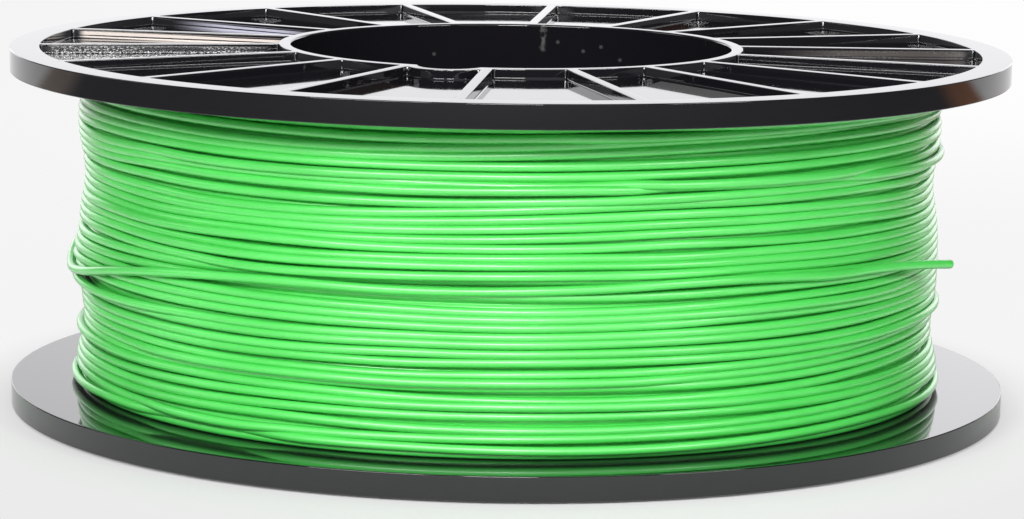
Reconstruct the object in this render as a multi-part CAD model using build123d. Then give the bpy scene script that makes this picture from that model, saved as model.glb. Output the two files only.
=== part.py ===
from build123d import *
from math import cos, radians, sin
import os

# A spool of plastic filament for a desktop 3-D printer: two ribbed flanges on a barrel, wound full.
# The origin is the middle of the plane that the spool stands on, and +Z is the spool's axis.
# Lengths are in millimetres. Angles are in degrees, counted from +X towards +Y.

# Driving dimensions: flanges
flange_radius = 100.0
rim_height = 4.7         # thickness of a flange at its rim
rim_width = 6.0          # plain ring outside the pockets
rim_chamfer = 0.5
web_thickness = 2.85     # what is left under a pocket's floor
hub_rise = 0.4           # the hub ring stands this much further out than the rim
bore_radius = 44.2
bore_edge_chamfer = 0.4
hub_wall = 2.5
spigot_length = 12.0     # reach of a flange's spigot into the barrel
spigot_wall = 1.2
spigot_lead_in = 0.5

# Driving dimensions: ribs and the pockets between them
rib_count = 18
rib_foot_width = 2.3
wall_draft = 3.0         # a pocket's walls lean out by this angle, for the mould

# Driving dimensions: the half-round notch for a winding machine's drive pin
notch_angle = -105.5     # midway between two ribs
notch_centre_radius = 42.5
notch_radius = 6.2
notch_depth = 4.0

# Driving dimensions: barrel and filament
traverse = 62.0          # clear width between the flanges
barrel_clearance = 0.05  # between a spigot and the barrel
filament_diameter = 1.75
winding_gap = 0.05       # between the filament and each flange
free_end_start = -97.0   # where the last turn comes to the surface
free_end_lift = -42.0    # where the last turn springs away from the others
free_end_straight = 31.0
free_end_radius = 87.5   # out to the middle of the last turn, clear of the turns under it
free_end_peak = -75.0    # where the last turn lies highest
free_end_height = 37.15  # how high it lies there
free_end_tilt = 3.3      # of the last turn's plane

# The winding swells and sinks where full and slack layers lie below: height on the spool, crest radius
winding_swell = [
    (8.0, 87.0),
    (17.0, 85.7),
    (27.0, 86.6),
    (40.0, 86.3),
    (46.0, 85.4),
    (57.0, 86.7),
]
winding_edge_radius = 86.1  # of the crests next to each flange

# Worked out from the dimensions above
rib_spacing = 360 / rib_count
hub_radius = bore_radius + hub_wall
hub_height = rim_height + hub_rise
pocket_outer_radius = flange_radius - rim_width
spigot_radius = bore_radius + spigot_wall
barrel_bore_radius = spigot_radius + barrel_clearance
lower_face = hub_height
upper_face = hub_height + traverse
tool_height = hub_height + 1.0


def flange_blank():
    """A flange before its pockets are cut: inner face at height 0, outer face up, spigot down."""
    outline = Polyline(
        (bore_radius, -spigot_length),
        (spigot_radius - spigot_lead_in, -spigot_length),
        (spigot_radius, -spigot_length + spigot_lead_in),
        (spigot_radius, 0),
        (flange_radius, 0),
        (flange_radius, rim_height),
        (pocket_outer_radius, rim_height),
        (hub_radius, hub_height),
        (bore_radius, hub_height),
        close=True,
    )
    blank = revolve(Plane.XZ * make_face(outline), Axis.Z)
    rim_edges = blank.edges().filter_by(GeomType.CIRCLE).group_by(SortBy.RADIUS)[-1]
    blank = chamfer(rim_edges, rim_chamfer)
    bore_edge = blank.edges().group_by(Axis.Z)[-1].sort_by(SortBy.RADIUS)[0]
    return chamfer(bore_edge, bore_edge_chamfer)


def pocket():
    """What the mould leaves out between two ribs: a ring's sector, centred on +X, less half of each rib."""
    half_gap = radians(rib_spacing / 2)
    apex = rib_foot_width / 2 / sin(half_gap)
    reach = 2 * flange_radius
    side = reach * sin(half_gap)
    far = apex + reach * cos(half_gap)
    floor = Circle(pocket_outer_radius) - Circle(hub_radius)
    floor &= make_face(Polyline((apex, 0), (far, -side), (far, side), close=True))
    tool = extrude(floor, tool_height - web_thickness, taper=-wall_draft)
    return Pos(0, 0, web_thickness) * tool


def flange():
    """One ribbed flange, moulded in one piece with its hub ring and spigot."""
    body = flange_blank()
    at_notch = Rot(0, 0, notch_angle) * Pos(notch_centre_radius, 0)
    notch_wall = at_notch * extrude(Circle(notch_radius + hub_wall), tool_height)
    for number in range(rib_count):
        angle = notch_angle + number * rib_spacing
        body -= Rot(0, 0, angle) * pocket() - notch_wall
    notch = at_notch * extrude(Circle(notch_radius), notch_depth)
    return body - Pos(0, 0, hub_height - notch_depth) * notch


def barrel():
    """The tube between the flanges, seated over both spigots."""
    return Pos(0, 0, lower_face) * extrude(Circle(hub_radius) - Circle(barrel_bore_radius), traverse)


def winding():
    """The wound filament as one body out to its outermost turns, which lie a little unevenly."""
    low = lower_face + winding_gap
    high = upper_face - winding_gap
    outline = Polyline(
        (hub_radius, low),
        (winding_edge_radius, low),
        *[(radius, height) for height, radius in winding_swell],
        (winding_edge_radius, high),
        (hub_radius, high),
        close=True,
    )
    return revolve(Plane.XZ * make_face(outline), Axis.Z)


def free_end():
    """The last turn's end: round the winding, then straight out where nothing holds it."""
    wrap = free_end_lift - free_end_start
    section = Plane.XZ * Pos(free_end_radius, 0) * Circle(filament_diameter / 2)
    turn = Rot(0, 0, free_end_start) * revolve(section, Axis.Z, revolution_arc=wrap)
    tail = Rot(0, 0, free_end_lift) * extrude(section, -free_end_straight)
    tilt = Rot(0, 0, free_end_peak) * Rot(0, -free_end_tilt, 0) * Rot(0, 0, -free_end_peak)
    centre = free_end_height - free_end_radius * sin(radians(free_end_tilt))
    return Pos(0, 0, centre) * tilt * (turn + tail)


def main():
    moulding = flange()
    pieces = {
        "lower_flange": Pos(0, 0, lower_face) * mirror(moulding, about=Plane.XY),
        "upper_flange": Pos(0, 0, upper_face) * moulding,
        "core_barrel": barrel(),
        "filament_winding": winding(),
        "filament_free_end": free_end(),
    }
    os.makedirs("parts", exist_ok=True)
    for name, shape in pieces.items():
        export_step(shape, f"parts/{name}.step")


main()
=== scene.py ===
import math
import bmesh
import bpy
import numpy as np
from mathutils import Matrix, Vector


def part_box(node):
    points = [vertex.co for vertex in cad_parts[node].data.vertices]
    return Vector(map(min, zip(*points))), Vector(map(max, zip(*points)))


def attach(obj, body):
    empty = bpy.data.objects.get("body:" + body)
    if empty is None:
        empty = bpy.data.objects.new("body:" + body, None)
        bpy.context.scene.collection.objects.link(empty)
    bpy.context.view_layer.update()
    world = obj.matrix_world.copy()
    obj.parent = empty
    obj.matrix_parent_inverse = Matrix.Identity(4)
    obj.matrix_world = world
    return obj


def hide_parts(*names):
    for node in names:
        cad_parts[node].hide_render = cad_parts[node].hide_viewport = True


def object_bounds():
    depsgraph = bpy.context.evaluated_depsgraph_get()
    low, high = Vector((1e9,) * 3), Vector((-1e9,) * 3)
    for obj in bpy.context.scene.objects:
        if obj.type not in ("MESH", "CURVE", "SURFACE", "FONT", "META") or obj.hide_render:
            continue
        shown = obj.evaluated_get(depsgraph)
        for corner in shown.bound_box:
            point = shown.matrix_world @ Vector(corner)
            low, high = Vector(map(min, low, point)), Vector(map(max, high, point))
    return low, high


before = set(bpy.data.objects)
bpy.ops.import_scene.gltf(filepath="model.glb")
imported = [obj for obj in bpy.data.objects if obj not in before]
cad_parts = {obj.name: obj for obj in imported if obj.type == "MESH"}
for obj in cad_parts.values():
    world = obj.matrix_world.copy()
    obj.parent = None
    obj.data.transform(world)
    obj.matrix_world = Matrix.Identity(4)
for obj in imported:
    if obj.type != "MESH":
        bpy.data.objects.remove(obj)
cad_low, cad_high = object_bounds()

MM = 0.001
BODY = "root"
SEED = 7
RIB_COUNT = 18
HALF_PITCH = math.pi / RIB_COUNT
NOTCH_ANGLE = math.radians(-105.5)


# ---------------------------------------------------------------- node trees

class Wire:
    """A node's output that adds, subtracts, multiplies and divides as a number does."""

    def __init__(self, nodes, socket):
        self.nodes = nodes
        self.socket = socket

    def maths(self, operation, first, second):
        return self.nodes.add("ShaderNodeMath", {"operation": operation}, {0: first, 1: second})

    def __add__(self, other):
        return self.maths("ADD", self, other)

    def __radd__(self, other):
        return self.maths("ADD", other, self)

    def __sub__(self, other):
        return self.maths("SUBTRACT", self, other)

    def __rsub__(self, other):
        return self.maths("SUBTRACT", other, self)

    def __mul__(self, other):
        return self.maths("MULTIPLY", self, other)

    def __rmul__(self, other):
        return self.maths("MULTIPLY", other, self)

    def __truediv__(self, other):
        return self.maths("DIVIDE", self, other)

    def __rtruediv__(self, other):
        return self.maths("DIVIDE", other, self)


class Nodes:
    """A node tree and the one method that adds a node to it."""

    def __init__(self, tree):
        self.tree = tree

    def add(self, kind, settings=None, sockets=None, output=0):
        node = self.tree.nodes.new(kind)
        for name, value in (settings or {}).items():
            setattr(node, name, value)
        for key, value in (sockets or {}).items():
            if isinstance(value, Wire):
                self.tree.links.new(value.socket, node.inputs[key])
            else:
                node.inputs[key].default_value = value
        return Wire(self, node.outputs[output]) if len(node.outputs) else None

    def mix(self, factor, first, second):
        """One colour where the factor is 0, the other where it is 1."""
        settings = {"data_type": "RGBA"}
        return self.add("ShaderNodeMix", settings, {0: factor, 6: first, 7: second}, output=2)

    def band(self, value, low, high):
        """0 below low, 1 above high, with a soft step between."""
        settings = {"interpolation_type": "SMOOTHSTEP"}
        return self.add("ShaderNodeMapRange", settings, {0: value, 1: low, 2: high, 3: 0.0, 4: 1.0})

    def inside(self, value, low, high, edge):
        """1 between low and high, and 0 outside them."""
        past_high = self.band(value, high - edge, high + edge)
        return self.band(value, low - edge, low + edge) * (1.0 - past_high)

    def axes(self, vector):
        """The three parts of a place or a direction."""
        split = self.add("ShaderNodeSeparateXYZ", None, {0: vector}).socket.node
        return [Wire(self, output) for output in split.outputs]

    def length(self, vector):
        return self.add("ShaderNodeVectorMath", {"operation": "LENGTH"}, {0: vector}, output=1)

    def noise(self, place, scale, detail=2.0):
        return self.add("ShaderNodeTexNoise", None, {"Vector": place, "Scale": scale, "Detail": detail})

    def stretched(self, place, stretch):
        """The same place with each axis scaled."""
        return self.add("ShaderNodeVectorMath", {"operation": "MULTIPLY"}, {0: place, 1: stretch})

    def drawn_noise(self, place, scales, detail=2.0):
        """Noise with a scale for each axis, so that it comes out drawn along the one with the least."""
        return self.noise(self.stretched(place, scales), 1.0, detail)


def grey(level):
    return (level, level, level, 1.0)


def new_look(name):
    """An empty node material and its nodes."""
    material = bpy.data.materials.new(name)
    material.use_nodes = True
    material.node_tree.nodes.clear()
    return material, Nodes(material.node_tree)


def finish_look(nodes, sockets):
    surface = nodes.add("ShaderNodeBsdfPrincipled", None, sockets)
    nodes.add("ShaderNodeOutputMaterial", None, {"Surface": surface})


# ---------------------------------------------------------------- finishes

# Parts of the upper flange that its marks keep to, as (from, to) of a soft edge, in metres.
POCKET_REACH = (0.048, 0.092)        # from the spool's axis: between the hub ring and the rim
POCKET_EDGE = 0.001
UPPER_HALF = (0.045, 0.050)          # height, from which on only the upper flange is marked
RIB_TOPS = (0.0713, 0.0717)          # height
RIB_WALLS = (0.0017, 0.0021)         # from a rib's middle line to the feet of its walls
BORE_WALL = (0.0446, 0.0448)         # from the spool's axis
FAR_SIDE = (0.030, 0.032)            # behind the spool's axis

# Worn pockets, whose pale stroke marks and pits carry painted reflection and painted glints, in metres:
# sideways as (from, to), and in depth as (low, high, soft edge).
STROKED_LEFT, STROKED_DEPTH = (0.038, 0.050), (0.008, 0.046, 0.005)
SCUFFED_LEFT, SCUFFED_DEPTH = (0.044, 0.058), (-0.017, 0.010, 0.004)
RIGHT_WEAR_AND_REFLECTION, RIGHT_WEAR_AND_REFLECTION_DEPTH = (0.050, 0.070), (-0.010, 0.010, 0.004)
# Painted reflection: the pale colour of the stroke marks turns from warm to cool here.
PALE_DEPTH = (0.024, 0.032)          # where the strokes turn from warm to cool

# The pockets' dull corners: from the spool's axis, from a rib's middle line, and in height.
CORNER_REACH = (0.0900, 0.0943, 0.0020)
CORNER_WIDTH = (0.0025, 0.0060)
CORNER_HEIGHT = (0.07010, 0.0714, 0.0001)

# Scales of the drawn-out patterns: sideways, across the ribs (or in depth) and in height.
POLISH_LINES = (60.0, 60.0, 2600.0)
STROKE_LINES = (16.0, 500.0, 3000.0)
PIT_GRAIN = (2000.0, 3600.0, 4200.0)
PIT_PATCHES = (60.0, 300.0, 900.0)

# Dust on the bore's far wall, in metres: how far right, and the height.
BORE_SPECKS = ((-0.0163, 0.0659), (0.0099, 0.0686), (0.0153, 0.0669), (0.0190, 0.0680), (0.0230, 0.0655))
SPECK_EDGE = (0.00015, 0.00055)
BORE_SPECK_STRENGTH = 0.28

# The smear on the bore's far wall, in metres.
SMEAR_SIDE = 0.0068
SMEAR_EDGE = (0.0001, 0.0008)
SMEAR_FOOT = (0.0662, 0.0672)
SMEAR_WANDER = 0.0016

# Painted reflection on the pale stroke marks: warm in the nearer pocket, cool in the farther one.
SCUFF_WARM_REFLECTION = (0.64, 0.57, 0.52, 1.0)
SCUFF_COOL_REFLECTION = (0.46, 0.46, 0.55, 1.0)
# Painted glints: the pale grey of the pits.
PIT_GLINT_GREY = 0.60
DUST_GREY = 0.20
SMEAR_GREY = 0.075
CLOUD_WARMTH = (1.4, 1.25, 1.15, 1.0)
GREEN_DEEP = (0.036, 0.50, 0.050, 1.0)
GREEN_LIGHT = (0.062, 0.60, 0.082, 1.0)
FINE_BUMP = {"Strength": 0.08, "Distance": 0.00003}


class Spot:
    """Where a point of the black plastic lies on the spool, and on which part of the upper flange."""

    def __init__(self, nodes):
        self.place = nodes.add("ShaderNodeTexCoord", output=3)
        self.side, self.depth, self.height = nodes.axes(self.place)
        self.reach = nodes.length(nodes.stretched(self.place, (1.0, 1.0, 0.0)))
        turn = nodes.add("ShaderNodeMath", {"operation": "ARCTAN2"}, {0: self.depth, 1: self.side})
        ribs = (turn - (NOTCH_ANGLE + HALF_PITCH)) / (2 * HALF_PITCH)
        from_rib = nodes.add("ShaderNodeMath", {"operation": "PINGPONG"}, {0: ribs, 1: 0.5})
        self.off_rib = from_rib * self.reach * (2 * HALF_PITCH)
        along = {0: self.side, 1: self.off_rib, 2: self.height}
        self.along_rib = nodes.add("ShaderNodeCombineXYZ", None, along)
        upper = nodes.band(self.height, *UPPER_HALF)
        self.pocket = nodes.inside(self.reach, *POCKET_REACH, POCKET_EDGE) * upper
        below_tops = 1.0 - nodes.band(self.height, *RIB_TOPS)
        self.wall = self.pocket * below_tops * (1.0 - nodes.band(self.off_rib, *RIB_WALLS))
        self.bore = nodes.band(self.depth, *FAR_SIDE) * (1.0 - nodes.band(self.reach, *BORE_WALL))
        self.right = nodes.band(self.side, *RIGHT_WEAR_AND_REFLECTION) * nodes.inside(self.depth, *RIGHT_WEAR_AND_REFLECTION_DEPTH)


def dust(nodes, spot):
    """Specks strewn in the pockets, and a few on the bore's far wall."""
    patch = nodes.band(nodes.noise(spot.place, 30.0, 1.0), 0.54, 0.62)
    cells = nodes.add("ShaderNodeTexVoronoi", {"feature": "F1"}, {"Vector": spot.place, "Scale": 260.0})
    specks = (1.0 - nodes.band(cells, 0.030, 0.070)) * patch * spot.pocket
    flat = nodes.stretched(spot.place, (1.0, 0.0, 1.0))
    for right, up in BORE_SPECKS:
        apart = nodes.add("ShaderNodeVectorMath", {"operation": "SUBTRACT"}, {0: flat, 1: (right, 0.0, up)})
        speck = 1.0 - nodes.band(nodes.length(apart), *SPECK_EDGE)
        specks = specks + speck * spot.bore * BORE_SPECK_STRENGTH
    return specks


def smear(nodes, spot):
    """A broken mark down the top of the bore's far wall."""
    wander = (nodes.noise(spot.place, 500.0) - 0.5) * SMEAR_WANDER
    off = nodes.add("ShaderNodeMath", {"operation": "ABSOLUTE"}, {0: spot.side - SMEAR_SIDE + wander})
    line = (1.0 - nodes.band(off, *SMEAR_EDGE)) * spot.bore * nodes.band(spot.height, *SMEAR_FOOT)
    return line * nodes.band(nodes.noise(spot.place, 900.0), 0.38, 0.62)


def strokes_with_painted_reflection(nodes, spot):
    """Strokes along the walls of two ribs at the left, and fainter ones at the right: wear marks whose pale
    colours are painted reflection.
    """
    left = nodes.band(spot.side * -1.0, *STROKED_LEFT) * nodes.inside(spot.depth, *STROKED_DEPTH)
    stroke = nodes.band(nodes.drawn_noise(spot.along_rib, STROKE_LINES), 0.36, 0.52)
    return stroke * (left * 0.95 + spot.right * 0.10) * spot.wall


def scuffs(nodes, spot):
    """Scuffing of the pocket in front of the pale strokes, most of all on its walls."""
    left = nodes.band(spot.side * -1.0, *SCUFFED_LEFT) * nodes.inside(spot.depth, *SCUFFED_DEPTH)
    return left * (spot.pocket * 0.1 + spot.wall * 0.9)


def pits_with_painted_glints(nodes, spot, grain, scuffed):
    """Pale pits on the scuffed walls, and a few at the right: real pitting, with its pale grey painted as
    glints.
    """
    pits = nodes.band(grain, 0.50, 0.62) * (scuffed + spot.right * 0.15) * spot.wall
    return pits * nodes.band(nodes.drawn_noise(spot.along_rib, PIT_PATCHES), 0.38, 0.56)


def dull_corners(nodes, spot):
    """The walls beside the pockets' outer corners, where the mould's polish could not reach."""
    beside_rib = 1.0 - nodes.band(spot.off_rib, *CORNER_WIDTH)
    return nodes.inside(spot.reach, *CORNER_REACH) * beside_rib * nodes.inside(spot.height, *CORNER_HEIGHT)


def moulded_black(name, base, roughness, streaks):
    """Glossy black plastic with the mould's polish lines, scuffed pockets, a smear and a little dust. The
    pockets' pale stroke marks and pale pits are painted reflection and painted glints on real wear.
    """
    material, nodes = new_look(name)
    spot = Spot(nodes)
    cloud = nodes.noise(spot.place, 38.0, 3.0)
    grit = nodes.noise(spot.place, 2600.0)
    polish = nodes.drawn_noise(spot.place, POLISH_LINES)
    grain = nodes.drawn_noise(spot.along_rib, PIT_GRAIN, 3.0)
    specks = dust(nodes, spot)
    strokes = strokes_with_painted_reflection(nodes, spot)
    scuffed = scuffs(nodes, spot)
    warmer = tuple(part * warmth for part, warmth in zip(base, CLOUD_WARMTH))
    # Painted reflection: the colour of the stroke marks, warm near and cool far.
    pale = nodes.mix(nodes.band(spot.depth, *PALE_DEPTH), SCUFF_WARM_REFLECTION, SCUFF_COOL_REFLECTION)
    colour = nodes.mix(strokes, nodes.mix(cloud, base, warmer), pale)
    # Painted glints: pale grey pits on the scuffed walls.
    colour = nodes.mix(pits_with_painted_glints(nodes, spot, grain, scuffed) * 0.7, colour, grey(PIT_GLINT_GREY))
    colour = nodes.mix(specks * 0.8, colour, grey(DUST_GREY))
    colour = nodes.mix(smear(nodes, spot), colour, grey(SMEAR_GREY))
    worn = specks * 0.4 + scuffed * 0.10 + strokes * 0.3 + dull_corners(nodes, spot) * 0.10
    lift = polish * streaks + grit * 0.05 + scuffed * grain * 14.0
    finish_look(nodes, {
        "Base Color": colour,
        "Roughness": roughness + cloud * 0.03 + grit * 0.01 + worn,
        "IOR": 1.58,
        "Normal": nodes.add("ShaderNodeBump", None, {**FINE_BUMP, "Height": lift}),
    })
    return material


def filament_plastic(name):
    """Opaque green filament with a soft gloss, a little uneven in colour along each strand."""
    material, nodes = new_look(name)
    place = nodes.add("ShaderNodeTexCoord", output=3)
    along = nodes.add("ShaderNodeAttribute", {"attribute_name": "along"}, output=2)
    line = {"W": along, "Scale": 9.0, "Detail": 3.0}
    batch = nodes.add("ShaderNodeTexNoise", {"noise_dimensions": "1D"}, line)
    cloud = nodes.noise(place, 55.0)
    grain = nodes.noise(place, 1900.0)
    tone = batch * 0.6 + cloud * 0.4
    bump = nodes.add("ShaderNodeBump", None, {**FINE_BUMP, "Height": grain})
    finish_look(nodes, {
        "Base Color": nodes.mix(nodes.band(tone, 0.25, 0.75), GREEN_DEEP, GREEN_LIGHT),
        "Roughness": 0.46 + cloud * 0.06 + grain * 0.04,
        "IOR": 1.50,
        "Specular IOR Level": 1.0,
        "Coat Weight": 1.0,
        "Coat Roughness": 0.26,
        "Coat IOR": 1.50,
        "Normal": bump,
        "Coat Normal": bump,
    })
    return material


flange_look = moulded_black("flange black, moulded gloss", (0.0052, 0.0052, 0.0070, 1.0), 0.025, 0.5)
barrel_look = moulded_black("barrel black, extruded", (0.012, 0.012, 0.013, 1.0), 0.30, 1.0)
filament_look = filament_plastic("filament green, gloss")


# ---------------------------------------------------------------- meshes

MERGE = 0.002 * MM           # points nearer than this are one
NO_LENGTH = 0.0005 * MM
MANY_SIDED = 12              # faces with more corners than this are flat floors


def mesh_object(name, mesh, material=None):
    made = bpy.data.objects.new(name, mesh)
    bpy.context.scene.collection.objects.link(made)
    if material:
        mesh.materials.clear()
        mesh.materials.append(material)
    return made


def run_tree(carrier, tree, values, name):
    """Runs a geometry tree on a carrier and returns what it makes as a plain mesh object."""
    modifier = carrier.modifiers.new(tree.name, "NODES")
    modifier.node_group = tree
    for item in tree.interface.items_tree:
        if item.item_type == "SOCKET" and item.in_out == "INPUT" and item.name in values:
            modifier[item.identifier] = values[item.name]
    graph = bpy.context.evaluated_depsgraph_get()
    made = bpy.data.meshes.new_from_object(
        carrier.evaluated_get(graph), preserve_all_data_layers=True, depsgraph=graph)
    bpy.data.objects.remove(carrier)
    made.name = name
    return mesh_object(name, made)


def new_tree(name, inputs):
    """A geometry tree with a geometry socket each way and the named inputs."""
    tree = bpy.data.node_groups.new(name, "GeometryNodeTree")
    tree.interface.new_socket(name="Geometry", in_out="INPUT", socket_type="NodeSocketGeometry")
    for label, kind in inputs.items():
        tree.interface.new_socket(name=label, in_out="INPUT", socket_type="NodeSocket" + kind)
    tree.interface.new_socket(name="Geometry", in_out="OUTPUT", socket_type="NodeSocketGeometry")
    nodes = Nodes(tree)
    source = nodes.add("NodeGroupInput").socket.node
    return tree, nodes, {s.name: Wire(nodes, s) for s in source.outputs if s.name}


def end_tree(nodes, geometry, material):
    whole = nodes.add("GeometryNodeRealizeInstances", None, {0: geometry})
    painted = nodes.add("GeometryNodeSetMaterial", None, {"Geometry": whole, "Material": material})
    nodes.add("NodeGroupOutput", None, {0: painted})


def mend(made, sharp_angle):
    """Merges a piece's doubles, turns its faces outwards, marks its hard edges and keeps its floors flat."""
    shape = bmesh.new()
    shape.from_mesh(made.data)
    bmesh.ops.remove_doubles(shape, verts=shape.verts, dist=MERGE)
    bmesh.ops.dissolve_degenerate(shape, dist=NO_LENGTH, edges=shape.edges)
    bmesh.ops.recalc_face_normals(shape, faces=shape.faces)
    shape.to_mesh(made.data)
    shape.free()
    made.data.polygons.foreach_set("use_smooth", [True] * len(made.data.polygons))
    made.data.set_sharp_from_angle(angle=math.radians(sharp_angle))
    for face in made.data.polygons:
        if len(face.vertices) > MANY_SIDED:
            for corner in face.loop_indices:
                made.data.edges[made.data.loops[corner].edge_index].use_edge_sharp = True
    flatter = made.modifiers.new("large faces stay flat", "WEIGHTED_NORMAL")
    flatter.keep_sharp = True
    flatter.weight = 100
    graph = bpy.context.evaluated_depsgraph_get()
    before = made.data
    made.data = bpy.data.meshes.new_from_object(
        made.evaluated_get(graph), preserve_all_data_layers=True, depsgraph=graph)
    made.modifiers.clear()
    bpy.data.meshes.remove(before)


# ---------------------------------------------------------------- flange moulding

# One flange, in millimetres from its inner face, with its outer face up. Its web and ribs thicken
# from the rim to the hub ring.
RIM_RADIUS = 100.0
RIM_TOP = 4.7
RIM_ROUND = 0.2
RIM_INNER = 94.0
WEB_TOP = 2.85
WEB_AT_HUB = 3.2
HUB_TOP = 5.1
HUB_RADIUS = 46.7
BORE_RADIUS = 44.2
BORE_ROUND = 0.4
SPIGOT_RADIUS = 45.4
SPIGOT_END = -12.0
LEAD_IN = 0.5
BORE_BREAK = 0.15    # the bore's broken edge at the spigot's end
FLAT_BAND = 0.4      # holds the inner face's edge crisp
RIB_HALF_WIDTH = 1.15
WALL_LEAN = math.tan(math.radians(3.0))
CORNER_RADIUS = 0.36
EDGE_ROUND = 0.16
FOOT_FILLET = 0.3
NOTCH_CENTRE = 42.5
NOTCH_RADIUS = 6.2
NOTCH_WALL = 8.7
NOTCH_DEPTH = 4.0
ARC_STEPS = 10
CORNER_STEPS = 4
SIDE_STEPS = 6
HALF_CORNER = CORNER_STEPS // 2
EDGE_STEPS = ARC_STEPS + HALF_CORNER


def turned(angle):
    return np.array([math.cos(angle), math.sin(angle)])


def swing(first, last, steps):
    """Unit directions from one to another, evenly spaced."""
    start = math.atan2(first[1], first[0])
    sweep = math.atan2(last[1], last[0]) - start
    sweep -= 2 * math.pi * round(sweep / (2 * math.pi))
    return [turned(start + sweep * n / steps) for n in range(steps + 1)]


def both_halves(half):
    """The other half of a line that starts and ends on the sector's middle ray."""
    mirrored = [point * np.array([1.0, -1.0]) for point in half[1:-1]]
    return half + mirrored[::-1]


def pocket_line(centre_x, radius):
    """A pocket's outline at its floor, and which way is into the pocket at each of its points."""
    hub = np.array([centre_x, 0.0])
    along_rib = turned(HALF_PITCH)
    to_rib = np.array([-along_rib[1], along_rib[0]])
    inset = RIB_HALF_WIDTH + CORNER_RADIUS
    reach = radius + CORNER_RADIUS
    across = hub @ to_rib + inset
    run = hub @ along_rib + math.sqrt(reach ** 2 - across ** 2)
    inner = run * along_rib - inset * to_rib
    outer_run = math.sqrt((RIM_INNER - CORNER_RADIUS) ** 2 - inset ** 2)
    outer = outer_run * along_rib - inset * to_rib
    points, ways = [], []
    from_hub = (inner - hub) / reach
    for way in swing((1.0, 0.0), from_hub, ARC_STEPS):
        points.append(hub + radius * way)
        ways.append(way)
    for way in swing(-from_hub, to_rib, CORNER_STEPS)[1:]:
        points.append(inner + CORNER_RADIUS * way)
        ways.append(-way)
    for n in range(1, SIDE_STEPS):
        part = n / SIDE_STEPS
        points.append(inner + (outer - inner) * part + CORNER_RADIUS * to_rib)
        ways.append(-to_rib)
    outward = outer / np.linalg.norm(outer)
    for way in swing(to_rib, outward, CORNER_STEPS):
        points.append(outer + CORNER_RADIUS * way)
        ways.append(-way)
    for way in swing(outward, (1.0, 0.0), ARC_STEPS)[1:]:
        points.append(RIM_INNER * way)
        ways.append(-way)
    return both_halves(points), both_halves(ways)


def hub_edge(notched, offset):
    """Half of the hub ring's inner edge, moved into the ring by the offset."""
    radius = BORE_RADIUS + offset
    if not notched:
        return [radius * turned(HALF_PITCH * n / EDGE_STEPS) for n in range(EDGE_STEPS + 1)]
    notch = NOTCH_RADIUS + offset
    meet = (NOTCH_CENTRE ** 2 + radius ** 2 - notch ** 2) / (2 * NOTCH_CENTRE * radius)
    start = math.acos(meet)
    corner = radius * turned(start)
    centre = np.array([NOTCH_CENTRE, 0.0])
    arc = [centre + notch * way for way in swing((1.0, 0.0), (corner - centre) / notch, ARC_STEPS)]
    sweep = HALF_PITCH - start
    return arc + [radius * turned(start + sweep * n / HALF_CORNER) for n in range(1, HALF_CORNER + 1)]


def rim_edge(radius):
    """Half of a ring round the rim, from the rib's middle to the sector's middle ray."""
    return [radius * turned(HALF_PITCH * (1 - n / EDGE_STEPS)) for n in range(EDGE_STEPS + 1)]


def slope(at_rim, at_hub, point):
    """A height that changes evenly from the rim's inner edge to the hub ring."""
    part = (RIM_INNER - np.linalg.norm(point)) / (RIM_INNER - HUB_RADIUS)
    return at_rim + (at_hub - at_rim) * min(max(part, 0.0), 1.0)


def top_height(point):
    """The ribs' tops fall a little from the hub ring to the rim."""
    return slope(RIM_TOP, HUB_TOP, point)


def quarter(steps):
    """Across and down, as parts of the radius, round a quarter circle."""
    angles = [math.pi / 2 * n / steps for n in range(steps + 1)]
    return [(math.sin(a), 1.0 - math.cos(a)) for a in angles]


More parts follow.
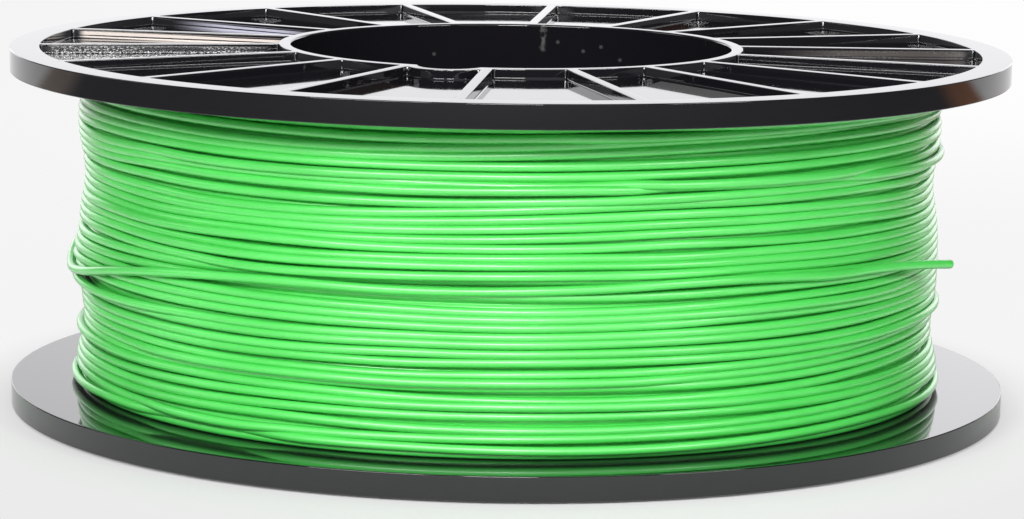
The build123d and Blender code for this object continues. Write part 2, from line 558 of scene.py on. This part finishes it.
def sector(notched):
    """One pocket with the half ribs beside it and all of the flange inside and outside it."""
    points, faces = [], []

    def ring(flat, heights):
        start = len(points)
        if np.isscalar(heights):
            heights = [heights] * len(flat)
        points.extend((p[0] * MM, p[1] * MM, z * MM) for p, z in zip(flat, heights))
        return list(range(start, len(points)))

    def bridge(first, second, closed=False):
        count = len(first)
        for n in range(count if closed else count - 1):
            m = (n + 1) % count
            faces.append((first[n], first[m], second[m], second[n]))

    def whole(half):
        """A half edge and its mirror image, from one rib's middle to the other's."""
        return [p * np.array([1.0, -1.0]) for p in half[::-1]][:-1] + list(half)

    wall_circle = (NOTCH_CENTRE, NOTCH_WALL) if notched else (0.0, HUB_RADIUS)
    line, ways = pocket_line(*wall_circle)
    feet = [slope(WEB_TOP, WEB_AT_HUB, p) for p in line]
    rise = [top_height(p) - foot for p, foot in zip(line, feet)]

    def pocket_ring(offsets, heights):
        return ring([p + w * o for p, w, o in zip(line, ways, offsets)], heights)

    # Pocket: rounded edge, leaning wall, filleted foot, flat floor.
    rings = []
    for across, down in quarter(2):
        offsets = [-r * WALL_LEAN - EDGE_ROUND * (1 - across) for r in rise]
        rings.append(pocket_ring(offsets, [foot + r - EDGE_ROUND * down for foot, r in zip(feet, rise)]))
    for across, down in quarter(3)[::-1]:
        offset = FOOT_FILLET * (1 - across) - FOOT_FILLET * WALL_LEAN * across
        rings.append(pocket_ring([offset] * len(line), [foot + FOOT_FILLET * down for foot in feet]))
    for first, second in zip(rings, rings[1:]):
        bridge(first, second, closed=True)
    faces.append(tuple(rings[-1]))

    # Top face: from the pocket's edge out to the hub ring's edge, the ribs' middles and the rim.
    rim_corner = RIM_RADIUS - RIM_ROUND
    hub_half = hub_edge(notched, BORE_ROUND)
    rim_half = rim_edge(rim_corner)
    along_rib = turned(HALF_PITCH)
    hub_corner = np.linalg.norm(hub_half[-1])
    first_side = ARC_STEPS + CORNER_STEPS
    runs = [p @ along_rib for p in line]
    border = list(hub_half)
    inner_run = runs[first_side]
    outer_run = runs[first_side + SIDE_STEPS]
    for n in range(1, HALF_CORNER):
        border.append(along_rib * (hub_corner + (inner_run - hub_corner) * n / HALF_CORNER))
    for n in range(SIDE_STEPS + 1):
        border.append(along_rib * runs[first_side + n])
    for n in range(1, HALF_CORNER):
        border.append(along_rib * (outer_run + (rim_corner - outer_run) * n / HALF_CORNER))
    border += rim_half
    border = both_halves(border)
    top = ring(border, [top_height(p) for p in border])
    bridge(top, rings[0], closed=True)

    # Outer side and inner face.
    rim_line = whole(rim_half[::-1])

    def rim_ring(radius, height):
        return ring([p * (radius / rim_corner) for p in rim_line], height)

    side = []
    for across, down in quarter(3):
        side.append(rim_ring(RIM_RADIUS - RIM_ROUND * (1 - across), RIM_TOP - RIM_ROUND * down))
    for across, down in quarter(3)[::-1]:
        side.append(rim_ring(RIM_RADIUS - RIM_ROUND * (1 - across), RIM_ROUND * down))
    side.append(rim_ring(rim_corner - FLAT_BAND, 0.0))

    # Spigot and bore.
    low_line = whole([BORE_RADIUS * turned(math.atan2(p[1], p[0])) for p in hub_edge(notched, 0.0)])

    def low_ring(radius, height):
        return ring([p * (radius / BORE_RADIUS) for p in low_line], height)

    side.append(low_ring(SPIGOT_RADIUS, 0.0))
    side.append(low_ring(SPIGOT_RADIUS, SPIGOT_END + LEAD_IN))
    side.append(low_ring(SPIGOT_RADIUS - LEAD_IN, SPIGOT_END))
    side.append(low_ring(BORE_RADIUS + BORE_BREAK, SPIGOT_END))
    side.append(low_ring(BORE_RADIUS, SPIGOT_END + BORE_BREAK))
    if notched:
        floor = HUB_TOP - NOTCH_DEPTH
        low = low_ring(BORE_RADIUS, floor)
        side.append(low)
        walls = [ring(whole(hub_edge(True, 0.0)), floor)]
        bridge(low, walls[0])
    else:
        walls = []
    for across, down in quarter(3)[::-1]:
        offset = BORE_ROUND * (1 - across)
        walls.append(ring(whole(hub_edge(notched, offset)), HUB_TOP - BORE_ROUND * down))
    chain = side if notched else side + walls
    for first, second in zip(chain, chain[1:]):
        bridge(first, second)
    if notched:
        for first, second in zip(walls, walls[1:]):
            bridge(first, second)

    mesh = bpy.data.meshes.new("sector")
    mesh.from_pydata(points, [], faces)
    mesh.validate()
    return mesh_object("notched sector" if notched else "sector", mesh)


def flange_tree(notched_sector):
    """Plain sectors round the axis, the notched one first, merged into one moulding."""
    inputs = {"Sectors": "Int", "Pitch": "Float", "Start": "Float"}
    tree, nodes, wire = new_tree("flange from sectors", inputs)
    plain = wire["Geometry"]
    special = nodes.add("GeometryNodeObjectInfo", {"transform_space": "ORIGINAL"},
                        {"Object": notched_sector}, output=4)
    spots = nodes.add("GeometryNodeMeshLine", None, {"Count": wire["Sectors"], "Offset": (0.0, 0.0, 0.0)})
    number = nodes.add("GeometryNodeInputIndex")
    turn = nodes.add("ShaderNodeCombineXYZ", None, {2: wire["Start"] + number * wire["Pitch"]})
    first = nodes.add("FunctionNodeCompare", {"data_type": "INT", "operation": "EQUAL"}, {2: number, 3: 0})
    rest = nodes.add("FunctionNodeBooleanMath", {"operation": "NOT"}, {0: first})
    spread = []
    for chosen, shape in ((rest, plain), (first, special)):
        sockets = {"Points": spots, "Selection": chosen, "Instance": shape, "Rotation": turn}
        spread.append(nodes.add("GeometryNodeInstanceOnPoints", None, sockets))
    joined = nodes.add("GeometryNodeJoinGeometry", None, {0: spread[0]})
    nodes.tree.links.new(spread[1].socket, joined.socket.node.inputs[0])
    solid = nodes.add("GeometryNodeRealizeInstances", None, {0: joined})
    welded = nodes.add("GeometryNodeMergeByDistance", None, {"Geometry": solid, "Distance": MERGE})
    end_tree(nodes, welded, flange_look)
    return tree


def make_flanges():
    plain = sector(False)
    special = sector(True)
    tree = flange_tree(special)
    values = {"Sectors": RIB_COUNT, "Pitch": 2 * HALF_PITCH, "Start": NOTCH_ANGLE}
    upper = run_tree(plain, tree, values, "upper_flange_moulding")
    bpy.data.objects.remove(special)
    lower = mesh_object("lower_flange_moulding", upper.data.copy())
    upper_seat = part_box("upper_flange")[1].z - HUB_TOP * MM
    lower_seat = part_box("lower_flange")[0].z + HUB_TOP * MM
    upper.data.transform(Matrix.Translation((0.0, 0.0, upper_seat)))
    over = Matrix.Diagonal((1.0, 1.0, -1.0, 1.0))
    lower.data.transform(Matrix.Translation((0.0, 0.0, lower_seat)) @ over)
    for piece, node in ((upper, "upper_flange"), (lower, "lower_flange")):
        mend(piece, 40.0)
        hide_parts(node)
        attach(piece, BODY)


# ---------------------------------------------------------------- filament

FILAMENT = 1.75
STRAND_SIDES = 10
STEPS = 168          # places worked out round each turn
TURNS = 36           # turns in the outermost layer
NEST = 1.50          # how far one layer lies outside the next, seated in its valleys

# Height of the last turn's middle, in millimetres, against degrees travelled since the layer's end:
# down behind the spool, across the turns at its left, then along a gap between them in front.
LAST_TURN = (
    (0, 66.1), (60, 66.0), (120, 65.8), (165, 64.0), (205, 57.0), (245, 49.6), (285, 43.0),
    (320, 38.0), (340, 34.6), (350, 32.2), (357, 30.4), (363, 29.1), (369, 28.3), (378, 29.4),
    (391, 32.3), (403, 34.5), (416, 35.8), (440, 36.0), (459, 36.6), (473, 37.3), (480, 37.3),
    (487, 36.9), (494, 36.25), (501, 36.1),
)
LIFT_OFF = 501.0     # where the free end springs away, 51 degrees right of the front
FREE_LENGTH = 27.6
FREE_FALL = 1.5      # how far its cut end hangs down

# Where turns of the layer stand apart: degrees round, turns below, reach in degrees, width in mm.
PARTINGS = (
    (-90, 17, 38, 1.75), (-103, 11, 9, 0.70), (-66, 11, 26, 0.45), (-38, 12, 28, 0.60),
    (-54, 14, 18, 0.60), (-69, 22, 9, 0.60), (-121, 22, 11, 0.55), (-143, 25, 10, 0.60),
    (-141, 26, 8, 0.45), (-43, 23, 14, 0.55), (-37, 26, 14, 0.45), (-33, 19, 16, 0.70),
    (-134, 10, 22, 0.50), (-143, 9, 16, 0.40), (-163, 2, 12, 0.80), (-120, 3, 12, 0.55),
    (-155, 31, 12, 0.70), (-137, 5, 18, 0.35), (-27, 9, 12, 0.65), (-139, 28, 11, 0.40),
    (-160, 14, 14, 0.60), (-108, 29, 16, 0.35), (-20, 2, 14, 0.80), (-88, 18, 18, 0.30),
    (172, 16, 26, 0.70),
)

# Where a band of turns lies high or low: degrees round, height, reach in degrees, reach in mm, shift.
SWAYS = (
    (-70, 47, 27, 8, 0.9), (-122, 48, 24, 5, -1.0), (-58, 62, 34, 4, 0.8), (-112, 61, 22, 3, -0.7),
    (-18, 46, 17, 7, -1.3), (-24, 19, 22, 4, 1.0), (-134, 23, 24, 2, -0.7), (-30, 36, 20, 5, -0.5),
    (-152, 40, 16, 4, 0.7), (-100, 14, 30, 4, 0.3),
)
PARTING_REACH = 5.0  # how far up and down a parting is felt

# Where turns stand proud beside the last one's bend, given as the sways are.
BULGE = (-172, 31.0, 11, 2.8, 1.1)

# How far the turns wander up or down, and out, in millimetres, and how often a turn changes its mind.
DRIFT = 0.38
DRIFT_CHANGES = 7
LIFT = 0.35
LIFT_CHANGES = 5

SETTLE_ROUNDS = 90
PUSH = 0.7           # how far strands that overlap give way at each round
RETURN = 0.65        # how far a strand goes back to its wished height
TENSION = 0.03       # how far a lifted strand is drawn in

# Crest radius of the winding against height: the turns below lie unevenly, so it swells and sinks.
SWELL = ((5, 86.1), (8, 87.0), (17, 85.7), (27, 86.6), (40, 86.3), (46, 85.4), (57, 86.7), (67, 86.1))
SLACK = 0.15         # how far most strands lie inside those crests

BRIDGE_STEPS = 3     # how stiffly the last turn bridges the valleys that it crosses
TAIL_STEPS = 8
BATCH_LENGTH = 30.0  # how quickly the colour changes along the strand

# The ridged body under the outermost layer.
INNER_SIDES = 120
RIDGE_ANGLES = np.radians((-62, -38, -13, 13, 38, 62))


def through(places, values, at):
    """A smooth line through unevenly spaced values (monotone where the values are)."""
    places, values = np.asarray(places, float), np.asarray(values, float)
    steps = np.diff(places)
    slopes = np.diff(values) / steps
    middle = (slopes[:-1] * steps[1:] + slopes[1:] * steps[:-1]) / (steps[:-1] + steps[1:])
    tangents = np.concatenate(([slopes[0]], middle, [slopes[-1]]))
    cell = np.clip(np.searchsorted(places, at, side="right") - 1, 0, len(steps) - 1)
    part = (at - places[cell]) / steps[cell]
    rise = values[cell + 1] - values[cell]
    begin = tangents[cell] * steps[cell]
    end = tangents[cell + 1] * steps[cell]
    return (values[cell] + part * begin + part ** 2 * (3 * rise - 2 * begin - end)
            + part ** 3 * (begin + end - 2 * rise))


def eased(values, reach):
    """The values raised and smoothed, never below where they were."""
    wide = np.pad(values, reach, mode="edge")
    lifted = np.max([wide[n:n + len(values)] for n in range(2 * reach + 1)], axis=0)
    wide = np.pad(lifted, reach, mode="edge")
    weights = np.hanning(2 * reach + 3)[1:-1]
    return np.convolve(wide, weights / weights.sum(), mode="valid")


def seat(heights, other_heights, other_radii):
    """How far out a strand lies on another at the same angle, or 0 where they miss each other."""
    gap = np.abs(heights - other_heights)
    lift = np.sqrt(np.clip(FILAMENT ** 2 - gap ** 2, 0.0, None))
    return np.where(gap < FILAMENT, other_radii + lift, 0.0)


def patch_at(turn, heights, angle, height, reach, rise):
    """1 at a place on the winding, fading round it and up and down."""
    round_by = (360 * turn - angle) % 360 - 180
    return np.exp(-(round_by / reach) ** 2 - ((heights - height) / rise) ** 2)


def layer_heights(low, high):
    """Height of the filament's middle at each step of the outermost layer, from below upwards."""
    random = np.random.default_rng(SEED)
    turn = np.arange(TURNS * STEPS) / STEPS
    climb = np.clip((turn - 0.5) / (TURNS - 1), 0.0, 1.0)
    knots = np.arange(-1, TURNS + 1, 1 / DRIFT_CHANGES)
    drift = through(knots, random.normal(0.0, DRIFT, len(knots)), turn)
    heights = low + (high - low) * climb + drift
    shift = np.zeros(len(turn))
    for angle, height, reach, rise, amount in SWAYS:
        shift += amount * patch_at(turn, heights, angle, height, reach, rise)
    for angle, below, reach, width in PARTINGS:
        past = turn - below - (angle + 180) / 360
        row = np.round(past)
        side = np.where(row < 0, -0.5, 0.5)
        away = np.abs(row + 0.5) - 0.5
        near = np.exp(-away * FILAMENT / PARTING_REACH - (360 * (past - row) / reach) ** 2)
        shift += side * width * near
    return np.clip(heights + shift, low, high)


def bedding(heights):
    """Radius at which a strand rests on the layer below, which swells and sinks with height."""
    swell = np.array(SWELL)
    return through(swell[:, 0], swell[:, 1], heights) - SLACK - FILAMENT / 2


def settle(wished, low, high):
    """Heights and radii once the turns have pushed each other apart, and outwards where crowded."""
    random = np.random.default_rng(SEED + 1)
    knots = np.arange(-1, TURNS + 1, 1 / LIFT_CHANGES)
    turn = np.arange(len(wished)) / STEPS
    heights = wished.copy()
    radii = bedding(heights) + np.abs(through(knots, random.normal(0.0, LIFT, len(knots)), turn))
    proud = BULGE[-1] * patch_at(turn, heights, *BULGE[:-1])
    for _ in range(SETTLE_ROUNDS):
        along, out = np.zeros(len(wished)), np.zeros(len(wished))
        for back in (STEPS, 2 * STEPS):
            up, away = heights[back:] - heights[:-back], radii[back:] - radii[:-back]
            gap = np.hypot(up, away)
            push = np.clip(FILAMENT - gap, 0.0, None) / gap / 2
            along[back:] += up * push
            along[:-back] -= up * push
            out[back:] += away * push
            out[:-back] -= away * push
        heights = smooth(heights + PUSH * along + RETURN * (wished - heights))
        radii = smooth(np.maximum(radii + PUSH * out - TENSION, bedding(heights) + proud))
        heights = np.clip(heights, low, high)
    return heights, radii


def smooth(values):
    """One step of a strand's stiffness."""
    middle = (values[:-2] + 2 * values[1:-1] + values[2:]) / 4
    return np.concatenate((values[:1], middle, values[-1:]))


def wind_last(layer, layer_radii):
    """Heights and radii of the last turn, which lies across the layer or in a gap of it."""
    count = int(LIFT_OFF / 360 * STEPS) + 1
    travelled = np.arange(count) * 360 / STEPS
    route = np.array(LAST_TURN)
    heights = through(route[:, 0], route[:, 1], travelled)
    column = np.arange(count) % STEPS
    rows, row_radii = layer.reshape(TURNS, STEPS), layer_radii.reshape(TURNS, STEPS)
    rests = [seat(heights, rows[n, column], row_radii[n, column]) for n in range(TURNS)]
    base = np.maximum(np.max(rests, axis=0), bedding(heights))
    radii = base.copy()
    for _ in range(BRIDGE_STEPS):
        best = base.copy()
        over = seat(heights[STEPS:], heights[:-STEPS], radii[:-STEPS])
        best[STEPS:] = np.maximum(best[STEPS:], over)
        radii = eased(best, BRIDGE_STEPS)
    return heights, radii


def on_spool(heights, radii):
    """Points of a run that starts at the spool's left."""
    angles = 2 * math.pi * np.arange(len(heights)) / STEPS - math.pi
    return np.column_stack((radii * np.cos(angles), radii * np.sin(angles), heights))


def free_end(points):
    """The cut end, which springs away along the tangent and hangs a little."""
    way = (points[-1] - points[-4]) * np.array([1.0, 1.0, 0.0])
    way /= np.linalg.norm(way)
    part = np.linspace(0.0, 1.0, TAIL_STEPS + 1)[1:, None]
    return points[-1] + way * FREE_LENGTH * part - np.array([0.0, 0.0, FREE_FALL]) * part ** 2


def strand_tree(look):
    """A round strand along a curve."""
    tree, nodes, wire = new_tree("strand", {"Radius": "Float", "Sides": "Int"})
    length = nodes.add("GeometryNodeSplineParameter", output=0)
    stored = {"Geometry": wire["Geometry"], "Name": "along", "Value": length * BATCH_LENGTH}
    settings = {"data_type": "FLOAT", "domain": "POINT"}
    marked = nodes.add("GeometryNodeStoreNamedAttribute", settings, stored)
    size = {"Resolution": wire["Sides"], "Radius": wire["Radius"]}
    section = nodes.add("GeometryNodeCurvePrimitiveCircle", None, size)
    swept = {"Curve": marked, "Profile Curve": section, "Fill Caps": True}
    tube = nodes.add("GeometryNodeCurveToMesh", None, swept)
    end_tree(nodes, nodes.add("GeometryNodeSetShadeSmooth", None, {0: tube}), look)
    return tree


def strand(name, points, look):
    """Round filament along a line of points in millimetres."""
    curve = bpy.data.curves.new(name, "CURVE")
    curve.dimensions = "3D"
    line = curve.splines.new("POLY")
    line.points.add(len(points) - 1)
    line.points.foreach_set("co", np.column_stack((points * MM, np.ones(len(points)))).ravel())
    carrier = bpy.data.objects.new(name, curve)
    bpy.context.scene.collection.objects.link(carrier)
    values = {"Radius": FILAMENT / 2 * MM, "Sides": STRAND_SIDES}
    return run_tree(carrier, strand_tree(look), values, name)


def inner_turns(low, high):
    """All of the filament under the outermost layer: one closed body with a ridge for each turn."""
    pitch = (high - low) / (TURNS - 1)
    centres = low + pitch * (np.arange(TURNS - 1) + 0.5)
    depths = bedding(centres) - NEST
    outline = [(HUB_RADIUS, low - FILAMENT / 2), (depths[0], low - FILAMENT / 2)]
    for height, depth in zip(centres, depths):
        for angle in RIDGE_ANGLES:
            outward, upward = FILAMENT / 2 * math.cos(angle), FILAMENT / 2 * math.sin(angle)
            outline.append((depth + outward, height + upward))
    outline += [(depths[-1], high + FILAMENT / 2), (HUB_RADIUS, high + FILAMENT / 2)]
    shape = bmesh.new()
    rings = []
    for n in range(INNER_SIDES):
        way = turned(2 * math.pi * n / INNER_SIDES)
        rings.append([shape.verts.new((r * way[0] * MM, r * way[1] * MM, z * MM)) for r, z in outline])
    for n, ring in enumerate(rings):
        after = rings[(n + 1) % INNER_SIDES]
        for m in range(len(outline)):
            k = (m + 1) % len(outline)
            shape.faces.new((ring[m], after[m], after[k], ring[k]))
    mesh = bpy.data.meshes.new("filament_inner_turns")
    shape.to_mesh(mesh)
    shape.free()
    made = mesh_object("filament_inner_turns", mesh, filament_look)
    mend(made, 60.0)
    return made


def make_filament():
    box_low, box_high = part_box("filament_winding")
    low = box_low.z / MM + FILAMENT / 2
    high = box_high.z / MM - FILAMENT / 2
    heights, radii = settle(layer_heights(low, high), low, high)
    last_heights, last_radii = wind_last(heights, radii)
    points = on_spool(np.concatenate((heights, last_heights)), np.concatenate((radii, last_radii)))
    points = np.concatenate((points, free_end(points)))
    outer = strand("filament_outer_turns", points, filament_look)
    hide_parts("filament_winding", "filament_free_end")
    inner = inner_turns(low, high)
    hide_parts("filament_winding")
    for piece in (outer, inner):
        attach(piece, BODY)


# ---------------------------------------------------------------- stage, light and camera

HAZE = (0.965, 0.955, 1.0, 1.0)
TIMBER_LEFT = (0.50, 0.42, 0.36, 1.0)
TIMBER_RIGHT = (0.48, 0.23, 0.13, 1.0)
FLOOR_RADIUS = 6.0
FLOOR_SIDES = 96
FLOOR_GAP = 0.00005          # keeps the floor clear of the spool's foot

# Painted shade on the floor: the brightness where the camera sees it near the spool, darker at the left; its
# paint near the spool and far from it, dark far off in reflections and bounced light; and the glowing
# sweep's brightness, darker in front and brightest behind at the right.
FLOOR_SEEN_SHADED_LEFT, FLOOR_SEEN_LIT_RIGHT = grey(0.67), grey(0.77)
PAINT_NEAR, PAINTED_SHADE_FAR = grey(0.82), grey(0.12)
SWEEP_FRONT, SWEEP_LEFT, SWEEP_RIGHT = grey(0.83), grey(0.905), grey(0.985)
WHITE = grey(1.0)

# Soft edges on the floor, as (from, to), in metres: from the spool, to the right of it or behind it.
LEFT_TO_RIGHT = (-0.1, 0.1)
PAINT_FADE = (0.22, 0.42)
GLOW_SEEN = (0.090, 0.140)
GLOW_MIRRORED = (0.24, 0.36)
GLOW_BEHIND = (0.16, 0.26)
SWEEP_FRONT_DEPTH = (-0.09, 0.01)
SWEEP_RIGHT_SIDE, SWEEP_RIGHT_DEPTH = (-0.25, 0.10), (0.15, 0.60)
TIMBER_TO_WHITE = (0.33, 0.40)
OVAL = (1.15, 1.0, 0.0)

# Soft edges in the studio, as parts of a direction that is one long.
BEHIND_DEPTH = (0.74, 0.86)
BESIDE_DEPTH = (0.40, 0.62)
BESIDE_TOP = (0.15, 0.35)
TIMBER_SIDE = (-0.3, 0.3)
UNEVEN_LIFT = (0.13, 0.17)

# The studio's brightness for every ray, and what is added to it or taken off for those that see it
# themselves or in a mirror, behind the spool and beside it.
AMBIENT = 0.28
SEEN_MORE = 0.64
MIRRORED_LESS = 0.22
BESIDE_MORE = 0.20
BEHIND_MORE = 0.72
BEHIND_LEFT, BEHIND_RIGHT = -0.14, 0.38      # at UNEVEN_SIDE to the left and right
UNEVEN_SIDE = 0.12

# Lamps: name, azimuth and elevation in degrees, distance, width and height in metres, radiance.
SOFTBOXES = (
    ("front softbox", -1.0, 24.5, 1.15, 0.30, 0.15, 50.0),
    ("left softbox", -31.0, 24.0, 1.3, 0.58, 0.17, 29.0),
    ("right softbox", 45.0, 24.0, 1.3, 0.40, 0.17, 24.0),
    ("front card", 0.0, 12.0, 1.1, 1.2, 0.17, 3.0),
    ("far left softbox", -98.0, 24.0, 1.3, 0.50, 0.45, 2.0),
    ("overhead softbox", 0.0, 84.0, 1.2, 1.1, 1.1, 0.9),
    ("back softbox", 180.0, 10.0, 0.9, 0.9, 0.22, 0.72),
    ("rear left softbox", -151.0, 4.0, 1.1, 0.32, 0.60, 1.3),
    ("rear right softbox", 151.0, 4.0, 1.1, 0.32, 0.60, 1.3),
)

# The camera and what it looks at, in metres from the spool's middle.
LENS = 134.0
SENSOR_WIDTH = 36.0
CAMERA_AT = (0.0, -0.7636, 0.1122)
CAMERA_AIM = (0.0008, 0.0, -0.0076)
CAMERA_ROLL = math.radians(-0.823)


def sweep_look():
    """A matt floor near the spool, and further off a glowing sweep in one tone with the backdrop. The floor
    carries painted shade: darker at the left, and dark far off in reflections. The glow is darker in front.
    In mirrors, the sweep behind the spool glows timber-coloured as a painted reflection.
    """
    material, nodes = new_look("pale floor")
    place = nodes.add("ShaderNodeTexCoord", output=3)
    reach = nodes.length(place)
    side, depth, _ = nodes.axes(place)
    path = nodes.add("ShaderNodeLightPath").socket.node
    seen = Wire(nodes, path.outputs["Is Camera Ray"])
    mirrored = Wire(nodes, path.outputs["Is Glossy Ray"])
    rightwards = nodes.band(side, *LEFT_TO_RIGHT)
    # Painted shade: for reflections and bounced light, the floor's paint turns dark away from the spool.
    paint = nodes.mix(nodes.band(reach, *PAINT_FADE), PAINT_NEAR, PAINTED_SHADE_FAR)
    # Painted shade: where the camera sees it near the spool, the floor is darker at the left.
    paint = nodes.mix(seen, paint, nodes.mix(rightwards, FLOOR_SEEN_SHADED_LEFT, FLOOR_SEEN_LIT_RIGHT))
    card = nodes.add("ShaderNodeBsdfDiffuse", None, {"Color": paint})
    # Painted shade and light in the sweep's glow: darker in front, brightest behind at the right.
    far = nodes.band(side, *SWEEP_RIGHT_SIDE) * nodes.band(depth, *SWEEP_RIGHT_DEPTH)
    sweep = nodes.mix(far, SWEEP_LEFT, SWEEP_RIGHT)
    sweep = nodes.mix(nodes.band(depth, *SWEEP_FRONT_DEPTH), SWEEP_FRONT, sweep)
    # Painted reflection: in mirrors, the sweep behind the spool glows timber-coloured near it and white
    # further back.
    timber = nodes.mix(rightwards, TIMBER_LEFT, TIMBER_RIGHT)
    reflection = nodes.mix(nodes.band(depth, *TIMBER_TO_WHITE), timber, WHITE)
    colour = nodes.mix(mirrored, sweep, reflection)
    glow = nodes.add("ShaderNodeEmission", None, {"Color": colour, "Strength": 1.0})
    glow_seen = nodes.band(nodes.length(nodes.stretched(place, OVAL)), *GLOW_SEEN) * seen
    glow_mirrored = nodes.band(reach, *GLOW_MIRRORED) * mirrored * nodes.band(depth, *GLOW_BEHIND)
    mixed = nodes.add("ShaderNodeMixShader", None, {0: glow_seen + glow_mirrored, 1: card, 2: glow})
    nodes.add("ShaderNodeOutputMaterial", None, {"Surface": mixed})
    return material


def make_floor():
    mesh = bpy.data.meshes.new("floor")
    shape = bmesh.new()
    bmesh.ops.create_circle(shape, cap_ends=True, segments=FLOOR_SIDES, radius=FLOOR_RADIUS)
    shape.to_mesh(mesh)
    shape.free()
    floor = mesh_object("floor", mesh, sweep_look())
    floor.data.transform(Matrix.Translation((0.0, 0.0, cad_low.z - FLOOR_GAP)))


def make_studio():
    """A pale world: bright behind the spool, where it is seen or mirrored, with timber at its sides."""
    world = bpy.data.worlds.new("studio")
    bpy.context.scene.world = world
    world.use_nodes = True
    world.node_tree.nodes.clear()
    nodes = Nodes(world.node_tree)
    path = nodes.add("ShaderNodeLightPath").socket.node
    camera = Wire(nodes, path.outputs["Is Camera Ray"])
    seen = camera
    for name in ("Is Glossy Ray", "Is Transmission Ray"):
        other = Wire(nodes, path.outputs[name])
        seen = nodes.add("ShaderNodeMath", {"operation": "MAXIMUM"}, {0: seen, 1: other})
    mirrored = seen - camera
    side, depth, lift = nodes.axes(nodes.add("ShaderNodeTexCoord", output=0))
    behind = nodes.band(depth, *BEHIND_DEPTH)
    beside = nodes.band(depth, *BESIDE_DEPTH) * (1.0 - behind) * (1.0 - nodes.band(lift, *BESIDE_TOP))
    timber = nodes.mix(nodes.band(side, *TIMBER_SIDE), TIMBER_LEFT, TIMBER_RIGHT)
    pale = nodes.mix(mirrored * behind, WHITE, HAZE)
    colour = nodes.mix(mirrored * beside, pale, timber)
    across = {0: side, 1: -UNEVEN_SIDE, 2: UNEVEN_SIDE, 3: BEHIND_LEFT, 4: BEHIND_RIGHT}
    uneven = nodes.add("ShaderNodeMapRange", None, across) * nodes.band(lift, *UNEVEN_LIFT)
    more = behind * (BEHIND_MORE + uneven) + beside * BESIDE_MORE - MIRRORED_LESS
    strength = AMBIENT + camera * SEEN_MORE + mirrored * more
    sky = nodes.add("ShaderNodeBackground", None, {"Color": colour, "Strength": strength})
    nodes.add("ShaderNodeOutputWorld", None, {"Surface": sky})


def make_lights():
    """Rectangular lamps round the spool: azimuth 0 is the front, and positive is to the right."""
    middle = (cad_low + cad_high) / 2
    for name, azimuth, elevation, distance, width, height, radiance in SOFTBOXES:
        light = bpy.data.lights.new(name, "AREA")
        light.shape = "RECTANGLE"
        light.size = width
        light.size_y = height
        light.energy = radiance * math.pi * width * height
        lamp = bpy.data.objects.new(name, light)
        bpy.context.scene.collection.objects.link(lamp)
        a, e = math.radians(azimuth), math.radians(elevation)
        away = Vector((math.sin(a) * math.cos(e), -math.cos(a) * math.cos(e), math.sin(e)))
        lamp.location = middle + away * distance
        lamp.rotation_euler = away.to_track_quat("Z", "Y").to_euler()
        lamp.visible_camera = False


def make_camera():
    """The camera: in front of the spool and a little above it, far back with a long lens."""
    camera = bpy.data.cameras.new("camera")
    camera.lens = LENS
    camera.sensor_width = SENSOR_WIDTH
    viewer = bpy.data.objects.new("camera", camera)
    bpy.context.scene.collection.objects.link(viewer)
    middle = (cad_low + cad_high) / 2
    viewer.location = middle + Vector(CAMERA_AT)
    forward = (middle + Vector(CAMERA_AIM) - viewer.location).normalized()
    viewer.rotation_mode = "QUATERNION"
    roll = Matrix.Rotation(CAMERA_ROLL, 3, forward)
    aim = forward.to_track_quat("-Z", "Y").to_matrix()
    viewer.rotation_quaternion = (roll @ aim).to_quaternion()
    bpy.context.scene.camera = viewer


def finish_barrel():
    """The barrel is the solid itself, with its finish."""
    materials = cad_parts["core_barrel"].data.materials
    materials.clear()
    materials.append(barrel_look)


make_camera()
make_floor()
make_studio()
make_lights()
make_flanges()
make_filament()
finish_barrel()
bpy.context.scene.view_settings.view_transform = "Standard"
